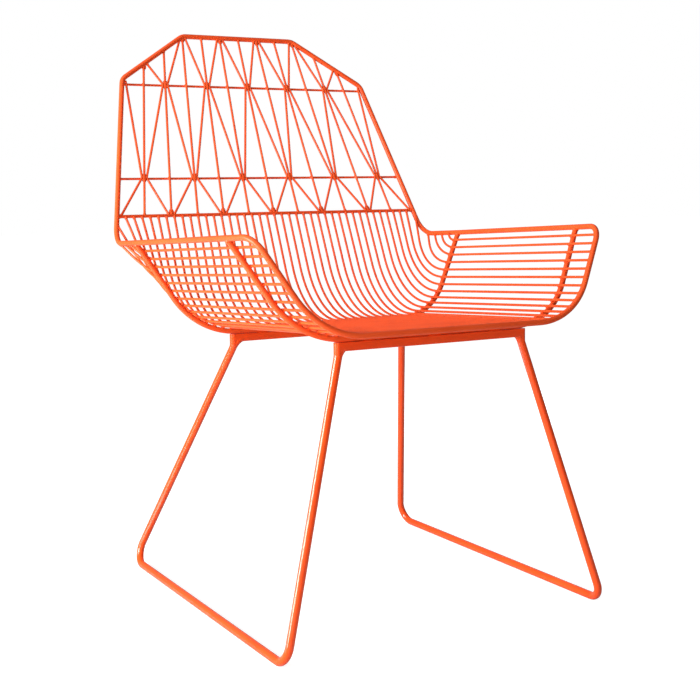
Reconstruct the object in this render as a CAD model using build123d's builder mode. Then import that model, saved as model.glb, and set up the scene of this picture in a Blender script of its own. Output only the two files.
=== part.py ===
"""Wire lounge chair: a welded shell of rods and wires on two sled legs, in millimetres.

X runs across the chair, Y to the back and Z up. The origin is on the floor, in the middle of the chair.
"""
import os
from math import acos, cos, radians, sin, tan

from build123d import *

# Overall size
overall_height = 905.5
overall_depth = 711.0

# Thickness of each kind of bar
rim_d = 8.5
hoop_d = 8.5
leg_d = 12.0
bar_size = 12.0
bar_edge_radius = 1.5
rail_d = 5.5
wire_d = 4.0

# Room left for the coat of paint between bars that are welded together
weld_gap = 0.1

# Back panel, heights above the floor, the lower cross wire's above the rail, and half widths
back_lean = 23.5
rail_height = 590.0
lower_cross_rise = 63.0
upper_cross_height = 813.5
side_corner_height = 821.0
rail_half_width = 284.0
top_half_width = 107.0
back_corner_radius = 22.0
zigzag_bend_radius = 8.0

# Seat and arms, at the rim's middle line
seat_front_height = 436.0
seat_half_width = 206.0
seat_corner_radius = 108.0
section_lean = 17.0
arm_front_height = 568.5
arm_front_half_width = 283.0
arm_rear_height = 547.0
arm_front_radius = 34.0
arm_rear_radius = 45.0
arm_bow_radius = 250.0
seat_bend_radius = 136.0
side_wire_drop = 12.0
arm_wire_start = 18.0
arm_wire_lean = 50.0
side_wire_sag = 3.0
side_bend_forward = 31.0

# Hoops under the seat: the front one behind the front edge of the seat and of the arms, and the rear
# one forward of the seat's rear edge and of the arms' rear end
front_hoop_setback = 59.0
front_hoop_arm_setback = 65.0
rear_hoop_forward = 88.4
rear_hoop_arm_forward = 90.8

# Sled legs
front_leg_half_width = 153.0
rear_leg_half_width = 156.0
stub_drop = 7.0
stub_bend_radius = 16.0
foot_half_width = 266.0
foot_front_setback = 6.0
runner_length = 586.0
foot_bend_radius = 24.0

# Share of a long wire's upper run that its bend may take
bend_share = 0.9

# Counts: wires on each side of the middle one, and pitches of the fan across the back
side_wires = 24
rail_wires = 19
fan_wires = 5
fan_steps_side = 6
fan_steps_top = 3

rim_r = rim_d / 2
hoop_r = hoop_d / 2
leg_r = leg_d / 2
wire_r = wire_d / 2
lap = wire_d + weld_gap

front_y = rim_r - overall_depth / 2
back_top_y = overall_depth / 2 - rim_r
top_z = overall_height - rim_r
lower_cross_height = rail_height + lower_cross_rise
back_angle = radians(back_lean)
section_angle = radians(section_lean)


def back_point(x, z, behind=0.0):
    """Point of the back panel at height z, moved square to the panel by behind."""
    y = back_top_y - (top_z - z) * tan(back_angle)
    return Vector(x, y + behind * cos(back_angle), z - behind * sin(back_angle))


def fan_pitch(z):
    """Distance between neighbouring fan wires at height z."""
    low = rail_half_width / fan_steps_side
    high = top_half_width / fan_steps_top
    return low + (high - low) * (z - rail_height) / (top_z - rail_height)


def side_x(z):
    """Half width of the back at the rim's side."""
    return fan_steps_side * fan_pitch(z)


def edge_z(x):
    """Height of the rim's upper edge at x, along the top and down its slopes."""
    corner_x = side_x(side_corner_height)
    slope = (top_z - side_corner_height) / (corner_x - top_half_width)
    return top_z - max(0.0, abs(x) - top_half_width) * slope


def fan_top(k):
    """Point where fan wire k meets the rim's upper edge."""
    corner_pitch = fan_pitch(side_corner_height)
    outer = (fan_steps_side - abs(k)) * corner_pitch
    inner = (abs(k) - fan_steps_top) * fan_pitch(top_z)
    share = min(1.0, outer / (outer + inner)) if abs(k) > fan_steps_top else 1.0
    z = side_corner_height + share * (top_z - side_corner_height)
    return back_point(k * fan_pitch(z), z)


# Section of the seat in the plane of its front edge: flat, rounded corner, sloping side
section_height = (arm_front_height - seat_front_height) / cos(section_angle)
side_run = arm_front_half_width - seat_half_width
side_length = (section_height**2 + side_run**2) ** 0.5
side_turn = acos(side_run / side_length)
corner_tangent = seat_corner_radius * tan(side_turn / 2)
flat_length = seat_half_width - corner_tangent
arc_length = seat_corner_radius * side_turn
section_length = flat_length + arc_length + side_length - corner_tangent


def side_share(run):
    """Share of the way up the section's rounded and sloping side, after a run from its middle."""
    return max(0.0, run - flat_length) / (section_length - flat_length)


def wire_run(k):
    """Run along the section to long wire k: even steps, with the side's wires a little lower."""
    run = k * section_length / (side_wires + 1)
    share = side_share(run)
    return run - 4 * side_wire_sag * share * (1 - share)


def section_point(run):
    """Place across and up the section, after a run along it from its middle."""
    if run <= flat_length:
        return run, 0.0
    angle = min(run - flat_length, arc_length) / seat_corner_radius
    beyond = max(0.0, run - flat_length - arc_length)
    across = flat_length + seat_corner_radius * sin(angle) + beyond * cos(side_turn)
    return across, seat_corner_radius * (1 - cos(angle)) + beyond * sin(side_turn)


# The rear section is the front one enlarged, and stands where the seat meets the back panel
rear_scale = side_x(arm_rear_height) / arm_front_half_width
seat_rear_height = arm_rear_height - rear_scale * section_height * cos(section_angle)
rear_middle = back_point(0, seat_rear_height)


def front_point(across, up):
    """Point of the front section in space."""
    return Vector(across, front_y + up * sin(section_angle), seat_front_height + up * cos(section_angle))


def rear_point(across, up):
    """Point of the rear section in space, from the same place in the front section."""
    rise = rear_scale * up
    return rear_middle + Vector(rear_scale * across, rise * sin(section_angle), rise * cos(section_angle))


def between(start, end, share):
    """Point at a share of the way from start to end."""
    return start + (end - start) * share


front_middle = front_point(0, 0)
front_corner = front_point(seat_half_width, 0)
arm_front = front_point(arm_front_half_width, section_height)
arm_rear = back_point(side_x(arm_rear_height), arm_rear_height)
rear_top = rear_point(arm_front_half_width, section_height)
arm_line = rear_top - arm_front
seat_line = rear_middle - front_middle

# The hoops run outside the wires, so their bends lie off the seat's section by this much
hoop_offset = hoop_r + wire_r + weld_gap
corner_shift = hoop_offset * tan(side_turn / 2)
arm_shift = hoop_offset / sin(side_turn)


def hoop_points(setback, arm_setback):
    """Middle, corner and arm end of one half of a hoop."""
    down = Vector(0, 0, -hoop_offset)
    share = setback / seat_line.length
    middle = between(front_middle, rear_middle, share) + down
    corner = between(front_corner, rear_point(seat_half_width, 0), share) + down + Vector(corner_shift, 0, 0)
    end = between(arm_front, rear_top, arm_setback / arm_line.length) + Vector(arm_shift, 0, 0)
    return [middle, corner, end]


front_hoop_points = hoop_points(front_hoop_setback, front_hoop_arm_setback)
rear_hoop_setback = seat_line.length - rear_hoop_forward
rear_hoop_points = hoop_points(rear_hoop_setback, arm_line.length - rear_hoop_arm_forward)


def rim_points():
    """Half of the rim, from the middle of the seat's front edge to the middle of the back's top."""
    side_corner = back_point(side_x(side_corner_height), side_corner_height)
    top_corner = back_point(top_half_width, top_z)
    arms = [arm_front, front_hoop_points[-1], rear_hoop_points[-1], arm_rear]
    return [front_middle, front_corner, *arms, side_corner, top_corner, back_point(0, top_z)]


rim_radii = [seat_corner_radius, arm_front_radius, arm_bow_radius, arm_bow_radius, arm_rear_radius]
rim_radii += [back_corner_radius, back_corner_radius]


def bar(points, radii, diameter):
    """Add a round bar to the open block, along straight runs with rounded bends."""
    with BuildLine() as path:
        if len(points) > 2:
            FilletPolyline(*points, radius=radii)
        else:
            Line(*points)
    with BuildSketch(Plane(origin=path.line @ 0, z_dir=path.line % 0)) as outline:
        Circle(diameter / 2)
    sweep(outline.sketch, path=path.line)


def finish(piece, name):
    """Name a finished piece and write it out."""
    piece.part.label = name
    export_step(piece.part, f"parts/{name}.step")


os.makedirs("parts", exist_ok=True)

# Rim: one closed bar round the seat front, the arms and the back
with BuildPart() as rim:
    bar(rim_points(), rim_radii, rim_d)
    mirror(about=Plane.YZ)
finish(rim, "rim")

# The rim with its weld gap, which shapes the end of every bar that meets it
with BuildPart() as rim_room:
    bar(rim_points(), rim_radii, rim_d + 2 * weld_gap)
    mirror(about=Plane.YZ)

# Back rail, across the foot of the back panel
rail_end = back_point(side_x(rail_height), rail_height)
with BuildPart() as back_rail:
    bar([back_point(0, rail_height), rail_end], [], rail_d)
    mirror(about=Plane.YZ)
    add(rim_room.part, mode=Mode.SUBTRACT)
finish(back_rail, "back_rail")

with BuildPart() as rail_room:
    bar([back_point(0, rail_height), rail_end], [], rail_d + 2 * weld_gap)
    mirror(about=Plane.YZ)


def cross_wire(height, name):
    """Wire across the back, behind the fan, with its ends on the rear of the rim."""
    with BuildPart() as wire:
        bar([back_point(0, height, lap), back_point(side_x(height), height, lap)], [], wire_d)
        mirror(about=Plane.YZ)
        add(rim_room.part, mode=Mode.SUBTRACT)
    finish(wire, name)


cross_wire(lower_cross_height, "lower_cross_wire")
cross_wire(upper_cross_height, "upper_cross_wire")


def side_name(k):
    """Part of a name that says on which side of the chair a wire is."""
    return "centre" if k == 0 else f"{'left' if k < 0 else 'right'}_{abs(k)}"


def panel_wire(points, radii, name):
    """Wire in the plane of the back panel, shaped to the rim and the rail at its ends."""
    with BuildPart() as wire:
        bar(points, radii, wire_d)
        add(rim_room.part, mode=Mode.SUBTRACT)
        add(rail_room.part, mode=Mode.SUBTRACT)
    finish(wire, name)


# Fan wires: straight, from the rim's upper edge down to the rail
for k in range(-fan_wires, fan_wires + 1):
    foot = back_point(k * fan_pitch(rail_height), rail_height)
    panel_wire([foot, fan_top(k)], [], f"fan_wire_{side_name(k)}")


def beside(k, towards, z):
    """Point beside fan wire k at height z, on the side of its neighbour."""
    return back_point(k * fan_pitch(z) + (towards - k) * lap, z)


def zigzag_points(k, neighbour):
    """Bent wire between two fan wires. It touches odd ones above and even ones below."""
    odd, even = (k, neighbour) if k % 2 else (neighbour, k)
    top_x = fan_top(odd).X + (even - odd) * lap
    top = back_point(top_x, edge_z(top_x))
    bends = [beside(even, odd, upper_cross_height), beside(odd, even, lower_cross_height)]
    return [top, *bends, beside(even, odd, rail_height)]


def outer_zigzag_points(side):
    """Bent wire between the last fan wire and the rim, from the upper cross wire to the rail."""
    clear = rim_r + wire_r + weld_gap
    start_z = upper_cross_height + wire_d
    start = back_point(side * (side_x(start_z) - clear), start_z)
    bend = beside(side * fan_wires, side * fan_steps_side, lower_cross_height)
    return [start, bend, back_point(side * (side_x(rail_height) - clear), rail_height)]


# Zigzag wires: one in each gap of the fan, in the same plane
for k in range(-fan_wires, fan_wires):
    bends = [zigzag_bend_radius, zigzag_bend_radius]
    panel_wire(zigzag_points(k, k + 1), bends, f"zigzag_wire_{side_name(k)}")
panel_wire(outer_zigzag_points(-1), [zigzag_bend_radius], "zigzag_wire_left_outer")
panel_wire(outer_zigzag_points(1), [zigzag_bend_radius], "zigzag_wire_right_outer")

# Hoops: two bars bent under the seat and up to the arms
hoop_corner_radius = seat_corner_radius + hoop_offset


def hoop(points, name):
    """Bar bent round the outside of the wires, with its ends under the arms."""
    with BuildPart() as bent:
        bar(points, [hoop_corner_radius], hoop_d)
        mirror(about=Plane.YZ)
        add(rim_room.part, mode=Mode.SUBTRACT)
    finish(bent, name)


hoop(front_hoop_points, "front_hoop")
hoop(rear_hoop_points, "rear_hoop")

# The highest wires meet the inner side of the arm, between its rear corner and the rear hoop
arm_wire_line = rear_hoop_points[-1] - Vector(hoop_r, 0, 0) - arm_rear
first_arm_wire = rail_wires + 2


def wire_start(k):
    """Upper end of long wire k: on the rail, on the rim's side or on the arm."""
    if k <= rail_wires:
        return back_point(k * rail_half_width / (rail_wires + 1), rail_height)
    if k < first_arm_wire:
        z = rail_height - side_wire_drop
        return back_point(side_x(z), z)
    step = (arm_wire_line.length - arm_wire_start) / (side_wires - first_arm_wire + 1)
    return arm_rear + arm_wire_line.normalized() * (arm_wire_start + step * (k - first_arm_wire))


def bend_forward(k, rear, end):
    """Share of the way from rear to end at which long wire k bends."""
    if k < first_arm_wire:
        rise = side_share(wire_run(k)) / side_share(wire_run(first_arm_wire))
        return side_bend_forward * rise**2 / (end - rear).length
    slope = tan(radians(arm_wire_lean))
    lead = wire_start(k) - rear
    run = end - rear
    return (lead.Y - lead.Z * slope) / (run.Y - run.Z * slope)


def wire_points(k):
    """Ends and bend of long wire k, from its upper end to the seat's front edge."""
    across, up = section_point(wire_run(k))
    rear = rear_point(across, up)
    end = front_point(across, up)
    return [wire_start(k), between(rear, end, bend_forward(k, rear, end)), end]


def wire_bend_radius(points):
    """Bend radius of a long wire: the seat's own, or less where its upper run is short."""
    start, bend, end = points
    turn = radians(180 - (start - bend).get_angle(end - bend))
    return min(seat_bend_radius, bend_share * (start - bend).length / tan(turn / 2))


def long_wire(k, name):
    """Wire from the back or an arm down and forward to the seat's front edge, with its mirror image."""
    points = wire_points(k)
    with BuildPart() as wire:
        bar(points, [wire_bend_radius(points)], wire_d)
        add(rim_room.part, mode=Mode.SUBTRACT)
        add(rail_room.part, mode=Mode.SUBTRACT)
        if k:
            mirror(about=Plane.YZ)
    finish(wire, name)


for k in range(side_wires + 1):
    long_wire(k, f"seat_wire_{k}" if k else "seat_wire_centre")


def bar_top(points):
    """Height of the cross bar under a hoop."""
    return points[0].Z - hoop_r - weld_gap


# Sled legs: each one bar from the front cross bar along the floor to the rear one
foot_front_y = front_y + foot_front_setback


def stub(points, half_width):
    """Top and bend of a leg, beside the end of the cross bar under a hoop."""
    top = Vector(half_width, points[0].Y, bar_top(points))
    return [top, top - Vector(0, 0, bar_size + stub_drop)]


def sled_points():
    """Path of the right sled from its front stub to its rear stub."""
    front_foot = Vector(foot_half_width, foot_front_y, leg_r)
    rear_foot = front_foot + Vector(0, runner_length, 0)
    front_stub = stub(front_hoop_points, front_leg_half_width)
    rear_stub = stub(rear_hoop_points, rear_leg_half_width)
    return [*front_stub, front_foot, rear_foot, *reversed(rear_stub)]


sled_radii = [stub_bend_radius, foot_bend_radius, foot_bend_radius, stub_bend_radius]

with BuildPart() as right_sled:
    bar(sled_points(), sled_radii, leg_d)
finish(right_sled, "right_sled")

with BuildPart() as left_sled:
    mirror(right_sled.part, about=Plane.YZ)
finish(left_sled, "left_sled")

# The legs with their weld gap, which shapes the ends of the cross bars
with BuildPart() as sled_room:
    bar(sled_points(), sled_radii, leg_d + 2 * weld_gap)
    mirror(about=Plane.YZ)


def cross_bar(points, half_width, name):
    """Square bar under a hoop, with its ends shaped to the legs."""
    with BuildPart() as square:
        with BuildSketch(Plane.YZ.offset(-half_width)):
            with Locations((points[0].Y, bar_top(points) - bar_size / 2)):
                RectangleRounded(bar_size, bar_size, bar_edge_radius)
        extrude(amount=2 * half_width)
        add(sled_room.part, mode=Mode.SUBTRACT)
    finish(square, name)


cross_bar(front_hoop_points, front_leg_half_width, "front_cross_bar")
cross_bar(rear_hoop_points, rear_leg_half_width, "rear_cross_bar")
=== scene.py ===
"""Wire lounge chair: the rods, wires and welds of its frame in glossy orange paint, in metres.

X runs across the chair, Y to the back and Z up. The origin is on the floor, in the middle of the chair.
"""
from math import acos, ceil, cos, pi, radians, sin, tan

import bmesh
import bpy
import numpy as np
from mathutils import Matrix, Vector, noise
from mathutils.geometry import interpolate_bezier


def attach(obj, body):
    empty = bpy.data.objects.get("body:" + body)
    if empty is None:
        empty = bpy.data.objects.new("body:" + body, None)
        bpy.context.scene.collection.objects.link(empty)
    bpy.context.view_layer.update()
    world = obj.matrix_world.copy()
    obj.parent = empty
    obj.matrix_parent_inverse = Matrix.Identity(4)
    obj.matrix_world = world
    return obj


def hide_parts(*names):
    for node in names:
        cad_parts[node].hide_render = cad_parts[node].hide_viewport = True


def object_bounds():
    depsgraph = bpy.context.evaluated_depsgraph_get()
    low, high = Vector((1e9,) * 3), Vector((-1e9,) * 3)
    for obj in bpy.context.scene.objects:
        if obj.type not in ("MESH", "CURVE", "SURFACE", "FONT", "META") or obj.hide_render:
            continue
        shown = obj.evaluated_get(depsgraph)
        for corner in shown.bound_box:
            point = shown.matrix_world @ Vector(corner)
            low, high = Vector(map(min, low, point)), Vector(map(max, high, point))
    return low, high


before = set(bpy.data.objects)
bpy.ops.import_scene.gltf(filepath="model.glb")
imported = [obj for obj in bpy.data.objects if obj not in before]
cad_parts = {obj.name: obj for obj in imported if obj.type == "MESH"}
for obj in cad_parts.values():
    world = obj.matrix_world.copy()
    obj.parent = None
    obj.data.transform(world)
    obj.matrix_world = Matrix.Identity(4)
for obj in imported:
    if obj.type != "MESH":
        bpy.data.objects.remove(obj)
cad_low, cad_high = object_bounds()

# Thickness of each kind of bar
rim_d = 0.0085
hoop_d = 0.0085
leg_d = 0.012
bar_size = 0.012
bar_edge_radius = 0.0015
rail_d = 0.0055
wire_d = 0.004
weld_gap = 0.0001

# Back panel
back_lean = 23.5
rail_height = 0.590
lower_cross_rise = 0.063
upper_cross_height = 0.8135
side_corner_height = 0.821
rail_half_width = 0.284
top_half_width = 0.107
back_corner_radius = 0.022
zigzag_bend_radius = 0.008

# Seat and arms
seat_front_height = 0.436
seat_half_width = 0.206
seat_corner_radius = 0.108
section_lean = 17.0
arm_front_height = 0.5685
arm_front_half_width = 0.283
arm_rear_height = 0.547
arm_front_radius = 0.034
arm_rear_radius = 0.045
arm_bow_radius = 0.250
seat_bend_radius = 0.136
side_wire_drop = 0.012
arm_wire_start = 0.018
arm_wire_lean = 50.0
side_wire_sag = 0.003
side_bend_forward = 0.031

# Hoops under the seat
front_hoop_setback = 0.059
front_hoop_arm_setback = 0.065
rear_hoop_forward = 0.0884
rear_hoop_arm_forward = 0.0908

# Sled legs
front_leg_half_width = 0.153
rear_leg_half_width = 0.156
stub_drop = 0.007
stub_bend_radius = 0.016
foot_half_width = 0.266
foot_front_setback = 0.006
runner_length = 0.586
foot_bend_radius = 0.024

# Share of a long wire's upper run that its bend may take
bend_share = 0.9

# Counts
side_wires = 24
rail_wires = 19
fan_wires = 5
fan_steps_side = 6
fan_steps_top = 3

# Welds: beads round the ends of rods, spots where wires cross, nodes where three wires of the back meet,
# seams between the cross bars and the hoops, and fillets between the cross bars and the legs
bead_height = 0.0008
bead_length = 0.0030
spot_length = 0.0032
spot_thickness = 0.0017
node_length = 0.0095
node_half_width = 0.0046
node_thickness = 0.0024
edge_node_length = 0.0065
edge_node_gap = 0.0055
seam_length = 0.011
seam_thickness = 0.0016
seam_places = (-0.105, 0.0, 0.105)
front_leg_fillet = 0.013
rear_leg_fillet = 0.021
fillet_drop_share = 0.2
fillet_bar_pull = 0.5
fillet_leg_pull = 0.5
fillet_r = 0.0058
weld_roughness = 0.12
weld_ripple = 900.0

# Fineness of the meshes
wire_sides = 20
bar_sides = 36
arc_step = radians(3.0)
bead_stations = 9
fillet_steps = 24
edge_points = 7
lump_divisions = 2
sample_step = 0.001
smooth_angle = radians(40)

# Paint: two tones, how rough and coated it is on the legs and on the shell, and its fine patterns
leg_tones = (0.81, 0.062, 0.007), (0.91, 0.082, 0.010)
leg_roughness = 0.18
leg_coat = 0.42
leg_coat_roughness = 0.08
shell_tones = (0.80, 0.076, 0.013), (0.90, 0.098, 0.018)
shell_roughness = 0.38
shell_coat = 0.08
shell_coat_roughness = 0.35
paint_ior = 1.5
paint_specular = 0.25
drift_scale = 14.0
drift_detail = 4.0
drift_low = 0.3
drift_high = 0.7
haze_scale = 60.0
haze_detail = 3.0
haze_depth = 0.1
peel_scale = 500.0
peel_detail = 2.0
peel_strength = 0.015
peel_height = 0.0002

# Floor and white surroundings
floor_size = 40.0
floor_squares = 8
floor_drop = 0.0004
floor_tone = 0.45
grain_scale = 3.0
grain_detail = 2.0
grain_contrast = 1.04
floor_glow = 0.80
glow_near = 0.7
glow_far = 2.2
room_light = 0.10
room_gloss = 0.05
backdrop_gloss = 0.2
backdrop_start = -0.5
backdrop_end = 0.4

# Camera at the photograph's angle
camera_place = (-0.962868, -1.788277, 0.620605)
camera_yaw = radians(-28.981)
camera_pitch = radians(6.996)
camera_roll = radians(0.847)
camera_lens = 65.21
sensor_width = 36.0

rim_r = rim_d / 2
hoop_r = hoop_d / 2
leg_r = leg_d / 2
rail_r = rail_d / 2
wire_r = wire_d / 2
lap = wire_d + weld_gap
front_y = cad_low.y + rim_r
back_top_y = cad_high.y - rim_r
top_z = cad_high.z - rim_r
lower_cross_height = rail_height + lower_cross_rise
back_angle = radians(back_lean)
section_angle = radians(section_lean)
panel_normal = Vector((0, cos(back_angle), -sin(back_angle)))


def back_point(x, z, behind=0.0):
    """Point of the back panel at height z, moved square to the panel by behind."""
    return Vector((x, back_top_y - (top_z - z) * tan(back_angle), z)) + panel_normal * behind


def fan_pitch(z):
    """Distance between neighbouring fan wires at height z."""
    low = rail_half_width / fan_steps_side
    high = top_half_width / fan_steps_top
    return low + (high - low) * (z - rail_height) / (top_z - rail_height)


def side_x(z):
    """Half width of the back at the rim's side."""
    return fan_steps_side * fan_pitch(z)


def edge_z(x):
    """Height of the rim's upper edge at x, along the top and down its slopes."""
    corner_x = side_x(side_corner_height)
    slope = (top_z - side_corner_height) / (corner_x - top_half_width)
    return top_z - max(0.0, abs(x) - top_half_width) * slope


def fan_top(k):
    """Point where fan wire k meets the rim's upper edge."""
    outer = (fan_steps_side - abs(k)) * fan_pitch(side_corner_height)
    inner = (abs(k) - fan_steps_top) * fan_pitch(top_z)
    share = min(1.0, outer / (outer + inner)) if abs(k) > fan_steps_top else 1.0
    z = side_corner_height + share * (top_z - side_corner_height)
    return back_point(k * fan_pitch(z), z)


# Section of the seat in the plane of its front edge: flat, rounded corner, sloping side
section_height = (arm_front_height - seat_front_height) / cos(section_angle)
side_run = arm_front_half_width - seat_half_width
side_length = (section_height**2 + side_run**2) ** 0.5
side_turn = acos(side_run / side_length)
corner_tangent = seat_corner_radius * tan(side_turn / 2)
flat_length = seat_half_width - corner_tangent
arc_length = seat_corner_radius * side_turn
section_length = flat_length + arc_length + side_length - corner_tangent


def side_share(run):
    """Share of the way up the section's rounded and sloping side, after a run from its middle."""
    return max(0.0, run - flat_length) / (section_length - flat_length)


def wire_run(k):
    """Run along the section to long wire k: even steps, with the side's wires a little lower."""
    run = k * section_length / (side_wires + 1)
    share = side_share(run)
    return run - 4 * side_wire_sag * share * (1 - share)


def section_point(run):
    """Place across and up the section, after a run along it from its middle."""
    if run <= flat_length:
        return run, 0.0
    angle = min(run - flat_length, arc_length) / seat_corner_radius
    beyond = max(0.0, run - flat_length - arc_length)
    across = flat_length + seat_corner_radius * sin(angle) + beyond * cos(side_turn)
    return across, seat_corner_radius * (1 - cos(angle)) + beyond * sin(side_turn)


# The rear section is the front one enlarged, and stands where the seat meets the back panel
rear_scale = side_x(arm_rear_height) / arm_front_half_width
seat_rear_height = arm_rear_height - rear_scale * section_height * cos(section_angle)
rear_middle = back_point(0, seat_rear_height)
section_up = Vector((0, sin(section_angle), cos(section_angle)))


def front_point(across, up):
    """Point of the front section in space."""
    return Vector((across, front_y, seat_front_height)) + section_up * up


def rear_point(across, up):
    """Point of the rear section in space, from the same place in the front section."""
    return rear_middle + Vector((rear_scale * across, 0, 0)) + section_up * rear_scale * up


front_middle = front_point(0, 0)
front_corner = front_point(seat_half_width, 0)
arm_front = front_point(arm_front_half_width, section_height)
arm_rear = back_point(side_x(arm_rear_height), arm_rear_height)
rear_top = rear_point(arm_front_half_width, section_height)
arm_line = rear_top - arm_front
seat_line = rear_middle - front_middle

# The hoops run outside the wires, so their bends lie off the seat's section by this much
hoop_offset = hoop_r + wire_r + weld_gap
corner_shift = hoop_offset * tan(side_turn / 2)
arm_shift = hoop_offset / sin(side_turn)


def hoop_points(setback, arm_setback):
    """Middle, corner and arm end of one half of a hoop."""
    share = setback / seat_line.length
    middle = front_middle.lerp(rear_middle, share) - Vector((0, 0, hoop_offset))
    corner = front_corner.lerp(rear_point(seat_half_width, 0), share)
    corner += Vector((corner_shift, 0, -hoop_offset))
    end = arm_front.lerp(rear_top, arm_setback / arm_line.length) + Vector((arm_shift, 0, 0))
    return [middle, corner, end]


front_hoop_points = hoop_points(front_hoop_setback, front_hoop_arm_setback)
rear_hoop_setback = seat_line.length - rear_hoop_forward
rear_hoop_points = hoop_points(rear_hoop_setback, arm_line.length - rear_hoop_arm_forward)
hoop_corner_radius = seat_corner_radius + hoop_offset


def beside(k, towards, z):
    """Point beside fan wire k at height z, on the side of its neighbour."""
    return back_point(k * fan_pitch(z) + (towards - k) * lap, z)


def zigzag_points(k, neighbour):
    """Bent wire between two fan wires. It touches odd ones above and even ones below."""
    odd, even = (k, neighbour) if k % 2 else (neighbour, k)
    top_x = fan_top(odd).x + (even - odd) * lap
    top = back_point(top_x, edge_z(top_x))
    bends = [beside(even, odd, upper_cross_height), beside(odd, even, lower_cross_height)]
    return [top, *bends, beside(even, odd, rail_height)]


def outer_zigzag_points(side):
    """Bent wire between the last fan wire and the rim, from the upper cross wire to the rail."""
    clear = rim_r + wire_r + weld_gap
    start_z = upper_cross_height + wire_d
    start = back_point(side * (side_x(start_z) - clear), start_z)
    bend = beside(side * fan_wires, side * fan_steps_side, lower_cross_height)
    return [start, bend, back_point(side * (side_x(rail_height) - clear), rail_height)]


# The highest wires meet the inner side of the arm, between its rear corner and the rear hoop
arm_wire_line = rear_hoop_points[-1] - Vector((hoop_r, 0, 0)) - arm_rear
first_arm_wire = rail_wires + 2


def wire_start(k):
    """Upper end of long wire k: on the rail, on the rim's side or on the arm."""
    if k <= rail_wires:
        return back_point(k * rail_half_width / (rail_wires + 1), rail_height)
    if k < first_arm_wire:
        z = rail_height - side_wire_drop
        return back_point(side_x(z), z)
    step = (arm_wire_line.length - arm_wire_start) / (side_wires - first_arm_wire + 1)
    return arm_rear + arm_wire_line.normalized() * (arm_wire_start + step * (k - first_arm_wire))


def bend_forward(k, rear, end):
    """Share of the way from rear to end at which long wire k bends."""
    if k < first_arm_wire:
        rise = side_share(wire_run(k)) / side_share(wire_run(first_arm_wire))
        return side_bend_forward * rise**2 / (end - rear).length
    slope = tan(radians(arm_wire_lean))
    lead = wire_start(k) - rear
    run = end - rear
    return (lead.y - lead.z * slope) / (run.y - run.z * slope)


def wire_points(k):
    """Ends and bend of long wire k, from its upper end to the seat's front edge."""
    across, up = section_point(wire_run(k))
    rear = rear_point(across, up)
    end = front_point(across, up)
    return [wire_start(k), rear.lerp(end, bend_forward(k, rear, end)), end]


def wire_bend_radius(points):
    """Bend radius of a long wire: the seat's own, or less where its upper run is short."""
    start, bend, end = points
    turn = pi - (start - bend).angle(end - bend)
    return min(seat_bend_radius, bend_share * (start - bend).length / tan(turn / 2))


def bar_top(points):
    """Height of the cross bar under a hoop."""
    return points[0].z - hoop_r - weld_gap


def stub(points, half_width):
    """Top and bend of a leg, beside the end of the cross bar under a hoop."""
    top = Vector((half_width, points[0].y, bar_top(points)))
    return [top, top - Vector((0, 0, bar_size + stub_drop))]


def sled_points():
    """Path of the right sled from its front stub to its rear stub."""
    front_foot = Vector((foot_half_width, front_y + foot_front_setback, leg_r))
    rear_foot = front_foot + Vector((0, runner_length, 0))
    front_stub = stub(front_hoop_points, front_leg_half_width)
    rear_stub = stub(rear_hoop_points, rear_leg_half_width)
    return [*front_stub, front_foot, rear_foot, *reversed(rear_stub)]


# Paths and meshes

def rounded(points, radii):
    """Path along straight runs, with a rounded bend of each radius at the points between."""
    path = [points[0]]
    for before, corner, after, radius in zip(points, points[1:], points[2:], radii):
        back = (before - corner).normalized()
        ahead = (after - corner).normalized()
        turn = pi - back.angle(ahead)
        centre = corner + (back + ahead).normalized() * radius / cos(turn / 2)
        spoke = corner + back * radius * tan(turn / 2) - centre
        axis = ahead.cross(back)
        steps = max(2, ceil(turn / arc_step))
        for i in range(steps + 1):
            path.append(centre + Matrix.Rotation(turn * i / steps, 3, axis) @ spoke)
    path.append(points[-1])
    return path


def mirrored(path):
    """The path on the other side of the chair."""
    return [Vector((-p.x, p.y, p.z)) for p in path]


def whole(path):
    """A path that starts in the middle of the chair, with its other half before it."""
    return mirrored(path)[:0:-1] + path


def distances(path):
    """Distance along a path to each of its points."""
    total = [0.0]
    for a, b in zip(path, path[1:]):
        total.append(total[-1] + (b - a).length)
    return total


def point_at(path, along, distance):
    """Point of a path at a distance along it."""
    i = int(np.searchsorted(along, distance, side="right")) - 1
    i = min(max(i, 0), len(path) - 2)
    return path[i].lerp(path[i + 1], (distance - along[i]) / (along[i + 1] - along[i]))


def beaded(path, radius, start_depth=None, end_depth=None):
    """Path and radii of a rod with a weld bead where an end enters another bar.

    A depth is the distance from that end of the path to the other bar's surface.
    """
    along = distances(path)
    beads = []
    if start_depth is not None:
        beads.append(start_depth)
    if end_depth is not None:
        beads.append(along[-1] - end_depth)
    stations = set(along)
    for bead in beads:
        for share in np.linspace(-1.0, 1.0, bead_stations):
            stations.add(min(max(bead + share * bead_length, 0.0), along[-1]))
    stations = sorted(stations)
    kept = [stations[0]]
    for station in stations[1:]:
        if station - kept[-1] > weld_gap:
            kept.append(station)
    kept[-1] = along[-1]
    radii = []
    for station in kept:
        swell = sum(max(0.0, 1 - ((station - bead) / bead_length) ** 2) ** 2 for bead in beads)
        radii.append(radius + bead_height * swell)
    return [point_at(path, along, station) for station in kept], radii


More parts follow.
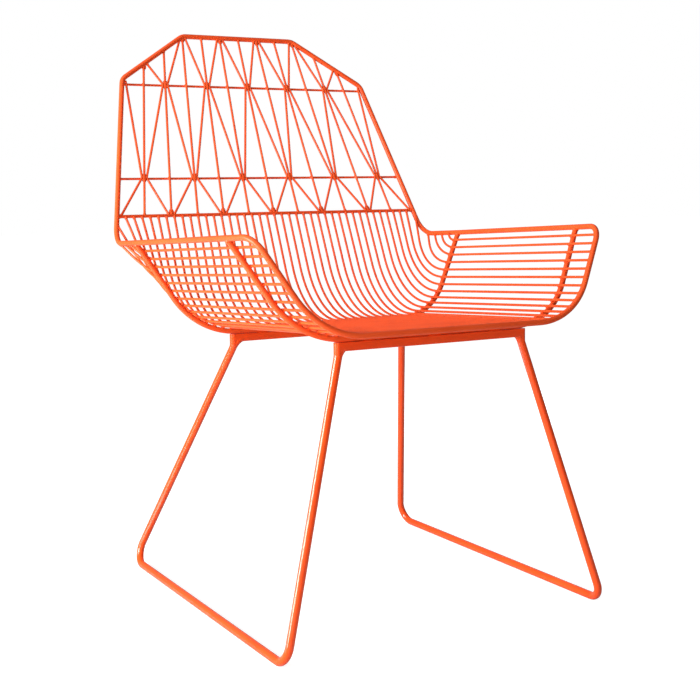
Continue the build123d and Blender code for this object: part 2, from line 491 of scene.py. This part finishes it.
def tube(mesh, path, radii, sides, closed=False):
    """Add a round tube to a mesh, with its own radius at each point of its path."""
    count = len(path)
    turns = [2 * pi * j / sides for j in range(sides)]
    side = None
    rings = []
    for i, point in enumerate(path):
        before = path[i - 1] if i or closed else None
        after = path[(i + 1) % count] if i < count - 1 or closed else None
        tangent = Vector((0, 0, 0))
        if before is not None:
            tangent += (point - before).normalized()
        if after is not None:
            tangent += (after - point).normalized()
        tangent.normalize()
        side = tangent.orthogonal() if side is None else side - tangent * side.dot(tangent)
        side.normalize()
        up = tangent.cross(side)
        spokes = [side * cos(turn) + up * sin(turn) for turn in turns]
        rings.append([mesh.verts.new(point + spoke * radii[i]) for spoke in spokes])
    join_rings(mesh, rings, closed)


def join_rings(mesh, rings, closed=False):
    """Skin a row of rings, and close its ends unless it runs back to its start."""
    sides = len(rings[0])
    following = rings[1:] + rings[:1] if closed else rings[1:]
    for a, b in zip(rings, following):
        for j in range(sides):
            mesh.faces.new((a[j], a[(j + 1) % sides], b[(j + 1) % sides], b[j]))
    if not closed:
        mesh.faces.new(rings[0][::-1])
        mesh.faces.new(rings[-1])


def lump(mesh, place, along, across, lengths):
    """Add a weld spot: a flattened drop of metal with a slightly uneven skin.

    The three half lengths run along it, across it and square to both.
    """
    along = along.normalized()
    normal = along.cross(across).normalized()
    across = normal.cross(along)
    made = bmesh.ops.create_icosphere(mesh, subdivisions=lump_divisions, radius=1.0)
    for vert in made["verts"]:
        swell = 1 + weld_roughness * noise.noise((place + vert.co * spot_length) * weld_ripple)
        x, y, z = (c * length * swell for c, length in zip(vert.co, lengths))
        vert.co = place + along * x + across * y + normal * z


def fillet(mesh, start, outward, end, down, reach):
    """Add the hollow weld under a cross bar: a short bend that leaves the bar and runs into the leg."""
    pulls = start + outward * reach * fillet_bar_pull, end - down * reach * fillet_leg_pull
    path = interpolate_bezier(start, *pulls, end, fillet_steps)
    tube(mesh, path, [fillet_r] * len(path), bar_sides)


def square_bar(mesh, half_length, y, top):
    """Add a square bar with rounded edges that runs across the chair."""
    middle = Vector((0, y, top - bar_size / 2))
    reach = bar_size / 2 - bar_edge_radius
    outline = []
    for quarter in range(4):
        start = quarter * pi / 2
        corner = Vector((0, cos(start + pi / 4), sin(start + pi / 4))) * reach * 2**0.5
        for angle in np.linspace(start, start + pi / 2, edge_points):
            outline.append(corner + Vector((0, cos(angle), sin(angle))) * bar_edge_radius)
    ends = [Vector((side * half_length, 0, 0)) for side in (-1, 1)]
    join_rings(mesh, [[mesh.verts.new(middle + end + p) for p in outline] for end in ends])


# Materials

def new_material(name):
    """A new node material, with its nodes and links."""
    material = bpy.data.materials.new(name)
    material.use_nodes = True
    return material, material.node_tree.nodes, material.node_tree.links


def noise_texture(nodes, links, coordinates, scale, detail):
    """A noise texture over the object's own coordinates."""
    texture = nodes.new("ShaderNodeTexNoise")
    texture.inputs["Scale"].default_value = scale
    texture.inputs["Detail"].default_value = detail
    links.new(coordinates.outputs["Object"], texture.inputs["Vector"])
    return texture


def orange_paint(name, tones, roughness, coat, coat_roughness):
    """Orange powder coat: a slow drift of colour, uneven gloss and a fine orange-peel skin."""
    material, nodes, links = new_material(name)
    shader = nodes["Principled BSDF"]
    shader.inputs["IOR"].default_value = paint_ior
    shader.inputs["Coat Weight"].default_value = coat
    shader.inputs["Coat Roughness"].default_value = coat_roughness
    shader.inputs["Specular IOR Level"].default_value = paint_specular
    coordinates = nodes.new("ShaderNodeTexCoord")

    drift = noise_texture(nodes, links, coordinates, drift_scale, drift_detail)
    colour = nodes.new("ShaderNodeValToRGB")
    for stop, position, tone in zip(colour.color_ramp.elements, (drift_low, drift_high), tones):
        stop.position = position
        stop.color = (*tone, 1)
    links.new(drift.outputs["Fac"], colour.inputs["Fac"])
    links.new(colour.outputs["Color"], shader.inputs["Base Color"])

    haze = noise_texture(nodes, links, coordinates, haze_scale, haze_detail)
    gloss = nodes.new("ShaderNodeMapRange")
    gloss.inputs["To Min"].default_value = roughness
    gloss.inputs["To Max"].default_value = roughness + haze_depth
    links.new(haze.outputs["Fac"], gloss.inputs["Value"])
    links.new(gloss.outputs["Result"], shader.inputs["Roughness"])

    peel = noise_texture(nodes, links, coordinates, peel_scale, peel_detail)
    bump = nodes.new("ShaderNodeBump")
    bump.inputs["Strength"].default_value = peel_strength
    bump.inputs["Distance"].default_value = peel_height
    links.new(peel.outputs["Fac"], bump.inputs["Height"])
    links.new(bump.outputs["Normal"], shader.inputs["Normal"])
    return material


leg_paint = orange_paint("orange_paint", leg_tones, leg_roughness, leg_coat, leg_coat_roughness)
shell_paint = orange_paint(
    "orange_paint_satin", shell_tones, shell_roughness, shell_coat, shell_coat_roughness
)


def painted(mesh, name, paint, *nodes):
    """Turn a mesh into a painted piece of the chair that stands for these nodes."""
    bmesh.ops.recalc_face_normals(mesh, faces=mesh.faces)
    data = bpy.data.meshes.new(name)
    mesh.to_mesh(data)
    mesh.free()
    data.shade_smooth()
    data.set_sharp_from_angle(angle=smooth_angle)
    data.materials.append(paint)
    piece = bpy.data.objects.new(name, data)
    bpy.context.scene.collection.objects.link(piece)
    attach(piece, "root")
    if nodes:
        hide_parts(*nodes)
    return piece


def rod(node, paths, radius, sides, start_depth=None, end_depth=None, paint=shell_paint):
    """A painted rod for a node, along one path or several, beaded where its ends enter other bars."""
    mesh = bmesh.new()
    for path in paths:
        tube(mesh, *beaded(path, radius, start_depth, end_depth), sides)
    return painted(mesh, f"{node}_painted", paint, node)


# Rim: one closed bar
side_corner = back_point(side_x(side_corner_height), side_corner_height)
top_corner = back_point(top_half_width, top_z)
arm_points = [arm_front, front_hoop_points[-1], rear_hoop_points[-1], arm_rear]
rim_points = [front_middle, front_corner, *arm_points, side_corner, top_corner, back_point(0, top_z)]
rim_radii = [seat_corner_radius, arm_front_radius, arm_bow_radius, arm_bow_radius, arm_rear_radius]
rim_radii += [back_corner_radius, back_corner_radius]
rim_half = rounded(rim_points, rim_radii)
rim_path = whole(rim_half)[:-1]
rim_mesh = bmesh.new()
tube(rim_mesh, rim_path, [rim_r] * len(rim_path), bar_sides, closed=True)
painted(rim_mesh, "rim_painted", shell_paint, "rim")

# Back rail and cross wires
rail_path = whole([back_point(0, rail_height), back_point(side_x(rail_height), rail_height)])
rod("back_rail", [rail_path], rail_r, bar_sides, rim_r, rim_r)
for name, height in (("lower_cross_wire", lower_cross_height), ("upper_cross_wire", upper_cross_height)):
    cross_path = whole([back_point(0, height, lap), back_point(side_x(height), height, lap)])
    rod(name, [cross_path], wire_r, wire_sides, rim_r, rim_r)


def side_name(k):
    """Part of a name that says on which side of the chair a wire is."""
    return "centre" if k == 0 else f"{'left' if k < 0 else 'right'}_{abs(k)}"


# Fan wires and the zigzag wires between them
for k in range(-fan_wires, fan_wires + 1):
    foot = back_point(k * fan_pitch(rail_height), rail_height)
    rod(f"fan_wire_{side_name(k)}", [[foot, fan_top(k)]], wire_r, wire_sides, rail_r, rim_r)
for k in range(-fan_wires, fan_wires):
    path = rounded(zigzag_points(k, k + 1), [zigzag_bend_radius, zigzag_bend_radius])
    rod(f"zigzag_wire_{side_name(k)}", [path], wire_r, wire_sides, rim_r, rail_r)
for side, name in ((-1, "left"), (1, "right")):
    path = rounded(outer_zigzag_points(side), [zigzag_bend_radius])
    rod(f"zigzag_wire_{name}_outer", [path], wire_r, wire_sides, None, rail_r)

# Hoops
hoop_paths = {}
for name, points in (("front_hoop", front_hoop_points), ("rear_hoop", rear_hoop_points)):
    hoop_paths[name] = whole(rounded(points, [hoop_corner_radius]))
    rod(name, [hoop_paths[name]], hoop_r, bar_sides, rim_r, rim_r)

# Long wires of the seat, in mirrored pairs
long_paths = []
for k in range(side_wires + 1):
    points = wire_points(k)
    path = rounded(points, [wire_bend_radius(points)])
    pair = [path, mirrored(path)] if k else [path]
    long_paths += pair
    start_depth = rail_r if k <= rail_wires else rim_r
    rod(f"seat_wire_{k}" if k else "seat_wire_centre", pair, wire_r, wire_sides, start_depth, rim_r)

# Sled legs and cross bars
sled_radii = [stub_bend_radius, foot_bend_radius, foot_bend_radius, stub_bend_radius]
sled_path = rounded(sled_points(), sled_radii)
rod("right_sled", [sled_path], leg_r, bar_sides, paint=leg_paint)
rod("left_sled", [mirrored(sled_path)], leg_r, bar_sides, paint=leg_paint)
front_foot, rear_foot = sled_points()[2:4]
leg_joints = (
    ("front_cross_bar", front_hoop_points, front_leg_half_width, front_leg_fillet, front_foot),
    ("rear_cross_bar", rear_hoop_points, rear_leg_half_width, rear_leg_fillet, rear_foot),
)
for name, points, half_width, _, _ in leg_joints:
    bar_mesh = bmesh.new()
    square_bar(bar_mesh, half_width, points[0].y, bar_top(points))
    painted(bar_mesh, f"{name}_painted", leg_paint, name)

# Welds

def nearest(path_a, path_b):
    """The two points, one on each path, where the paths pass closest."""
    samples = []
    for path in (path_a, path_b):
        along = distances(path)
        count = ceil(along[-1] / sample_step)
        samples.append(np.array([point_at(path, along, along[-1] * i / count) for i in range(count + 1)]))
    a, b = samples
    gaps = ((a[:, None, :] - b[None, :, :]) ** 2).sum(axis=2)
    i, j = np.unravel_index(gaps.argmin(), gaps.shape)
    return Vector(a[i]), Vector(b[j])


for name, hoop_path in hoop_paths.items():
    spots = bmesh.new()
    for path in long_paths:
        on_wire, on_hoop = nearest(path, hoop_path)
        contact = on_wire.lerp(on_hoop, wire_r / (on_hoop - on_wire).length)
        across = Vector((0, 1, 0)).cross(on_hoop - on_wire)
        lump(spots, contact, Vector((0, 1, 0)), across, (spot_length, spot_length, spot_thickness))
    painted(spots, f"{name}_welds", shell_paint)

across_panel = Vector((1, 0, 0))
up_panel = panel_normal.cross(across_panel)
panel_welds = bmesh.new()
for k in range(-fan_wires, fan_wires + 1):
    for height in (lower_cross_height, upper_cross_height):
        contact = back_point(k * fan_pitch(height), height, lap / 2)
        lump(panel_welds, contact, up_panel, across_panel, (spot_length, spot_length, spot_thickness))


def node_weld(k, z, length):
    """Weld that joins fan wire k and the two wires bent against it."""
    fan = fan_top(k) - back_point(k * fan_pitch(rail_height), rail_height)
    lengths = (length, node_half_width, node_thickness)
    lump(panel_welds, back_point(k * fan_pitch(z), z), fan, across_panel, lengths)


for k in range(-fan_wires, fan_wires + 1):
    if k % 2:
        node_weld(k, lower_cross_height, node_length)
        node_weld(k, fan_top(k).z - edge_node_gap, edge_node_length)
    else:
        node_weld(k, upper_cross_height, node_length)
        node_weld(k, rail_height + edge_node_gap, edge_node_length)
painted(panel_welds, "back_panel_welds", shell_paint)

along_bar = Vector((1, 0, 0))
along_seat = Vector((0, 1, 0))
seam_lengths = (seam_length, seam_thickness, seam_thickness)
leg_welds = bmesh.new()
for name, points, half_width, reach, foot in leg_joints:
    top, bend = stub(points, half_width)
    slant = (foot - bend).normalized()
    fillet_start = top - Vector((reach, 0, bar_size / 2))
    fillet_end = bend + slant * reach * fillet_drop_share
    for side in (-1, 1):
        turned = Vector((side, 1, 1))
        start, end = fillet_start * turned, fillet_end * turned
        fillet(leg_welds, start, side * along_bar, end, slant * turned, reach)
        for x in seam_places:
            seam = Vector((x, top.y + side * hoop_r / 2, top.z + seam_thickness / 2))
            lump(leg_welds, seam, along_bar, along_seat, seam_lengths)
painted(leg_welds, "leg_welds", leg_paint)

# Floor, studio light and white surroundings

def math_node(nodes, links, operation, first, second):
    """The result of a sum on two sockets."""
    node = nodes.new("ShaderNodeMath")
    node.operation = operation
    links.new(first, node.inputs[0])
    links.new(second, node.inputs[1])
    return node.outputs["Value"]


def seen_white(nodes, links, coordinates, name):
    """How white the surroundings look: fully to the camera, and dimly in gloss and glass.

    In gloss and glass the room in front of the chair is dimmer than the backdrop behind it.
    """
    rays = nodes.new("ShaderNodeLightPath")
    axes = nodes.new("ShaderNodeSeparateXYZ")
    links.new(coordinates.outputs[name], axes.inputs["Vector"])
    behind = nodes.new("ShaderNodeMapRange")
    behind.interpolation_type = "SMOOTHSTEP"
    behind.inputs["From Min"].default_value = backdrop_start
    behind.inputs["From Max"].default_value = backdrop_end
    behind.inputs["To Min"].default_value = room_gloss
    behind.inputs["To Max"].default_value = backdrop_gloss
    links.new(axes.outputs["Y"], behind.inputs["Value"])
    gloss, glass = rays.outputs["Is Glossy Ray"], rays.outputs["Is Transmission Ray"]
    reflected = math_node(nodes, links, "MAXIMUM", gloss, glass)
    masked = math_node(nodes, links, "MULTIPLY", reflected, behind.outputs["Result"])
    return math_node(nodes, links, "MAXIMUM", rays.outputs["Is Camera Ray"], masked)


def floor_material():
    """Pale studio floor that keeps soft shadows and fades to white away from the chair."""
    material, nodes, links = new_material("pale_floor")
    nodes.remove(nodes["Principled BSDF"])
    coordinates = nodes.new("ShaderNodeTexCoord")
    grain = noise_texture(nodes, links, coordinates, grain_scale, grain_detail)
    colour = nodes.new("ShaderNodeValToRGB")
    for stop, tone in zip(colour.color_ramp.elements, (floor_tone, floor_tone * grain_contrast)):
        stop.color = (tone, tone, tone, 1)
    links.new(grain.outputs["Fac"], colour.inputs["Fac"])
    matt = nodes.new("ShaderNodeBsdfDiffuse")
    links.new(colour.outputs["Color"], matt.inputs["Color"])

    distance = nodes.new("ShaderNodeVectorMath")
    distance.operation = "LENGTH"
    links.new(coordinates.outputs["Object"], distance.inputs[0])
    fade = nodes.new("ShaderNodeMapRange")
    fade.interpolation_type = "SMOOTHSTEP"
    fade.inputs["From Min"].default_value = glow_near
    fade.inputs["From Max"].default_value = glow_far
    fade.inputs["To Min"].default_value = floor_glow
    fade.inputs["To Max"].default_value = 1.0
    links.new(distance.outputs["Value"], fade.inputs["Value"])
    white = seen_white(nodes, links, coordinates, "Object")
    glow = nodes.new("ShaderNodeEmission")
    strength = math_node(nodes, links, "MULTIPLY", fade.outputs["Result"], white)
    links.new(strength, glow.inputs["Strength"])
    both = nodes.new("ShaderNodeAddShader")
    links.new(matt.outputs["BSDF"], both.inputs[0])
    links.new(glow.outputs["Emission"], both.inputs[1])
    links.new(both.outputs["Shader"], nodes["Material Output"].inputs["Surface"])
    return material


floor_mesh = bmesh.new()
bmesh.ops.create_grid(floor_mesh, x_segments=floor_squares, y_segments=floor_squares, size=floor_size / 2)
floor_data = bpy.data.meshes.new("floor")
floor_mesh.to_mesh(floor_data)
floor_mesh.free()
floor_data.materials.append(floor_material())
floor = bpy.data.objects.new("floor", floor_data)
floor.location.z = -floor_drop
bpy.context.scene.collection.objects.link(floor)

world = bpy.data.worlds.new("studio")
world.use_nodes = True
bpy.context.scene.world = world
world_nodes = world.node_tree.nodes
world_links = world.node_tree.links
directions = world_nodes.new("ShaderNodeTexCoord")
brightness = world_nodes.new("ShaderNodeMapRange")
brightness.inputs["To Min"].default_value = room_light
world_white = seen_white(world_nodes, world_links, directions, "Generated")
world_links.new(world_white, brightness.inputs["Value"])
world_nodes["Background"].inputs["Color"].default_value = (1, 1, 1, 1)
world_links.new(brightness.outputs["Result"], world_nodes["Background"].inputs["Strength"])


def softbox(name, place, target, width, height, power, lights=True, shows=False):
    """A soft rectangular lamp that faces a target. It lights the chair, shows in its gloss, or both."""
    lamp = bpy.data.lights.new(name, "AREA")
    lamp.shape = "RECTANGLE"
    lamp.size = width
    lamp.size_y = height
    lamp.energy = power
    holder = bpy.data.objects.new(name, lamp)
    holder.location = place
    holder.rotation_euler = (Vector(target) - Vector(place)).to_track_quat("-Z", "Y").to_euler()
    holder.visible_camera = False
    holder.visible_diffuse = lights
    holder.visible_glossy = shows
    bpy.context.scene.collection.objects.link(holder)


chair_middle = (cad_low + cad_high) / 2
softbox("left_softbox", (-2.2, 0.05, 0.80), chair_middle, width=1.3, height=1.0, power=114.0, shows=True)
softbox("floor_reflector", (-1.03, 0.03, 0.02), (-1.01, 0.035, 1.02), width=0.2, height=1.4, power=6.0,
        lights=False, shows=True)
softbox("top_softbox", (-0.3, -0.4, 2.6), chair_middle, width=1.6, height=1.6, power=18.0)
softbox("back_fill", (1.7, 1.5, 0.9), chair_middle, width=0.9, height=0.9, power=24.0)
softbox("front_fill", (-1.05, -1.5, 0.25), chair_middle, width=0.8, height=0.6, power=13.0)

# Camera
camera_data = bpy.data.cameras.new("camera")
camera_data.lens = camera_lens
camera_data.sensor_width = sensor_width
camera = bpy.data.objects.new("camera", camera_data)
turn = Matrix.Rotation(camera_yaw, 4, "Z") @ Matrix.Rotation(pi / 2 - camera_pitch, 4, "X")
camera.matrix_world = Matrix.Translation(camera_place) @ turn @ Matrix.Rotation(-camera_roll, 4, "Z")
bpy.context.scene.collection.objects.link(camera)
bpy.context.scene.camera = camera
bpy.context.scene.view_settings.view_transform = "Standard"
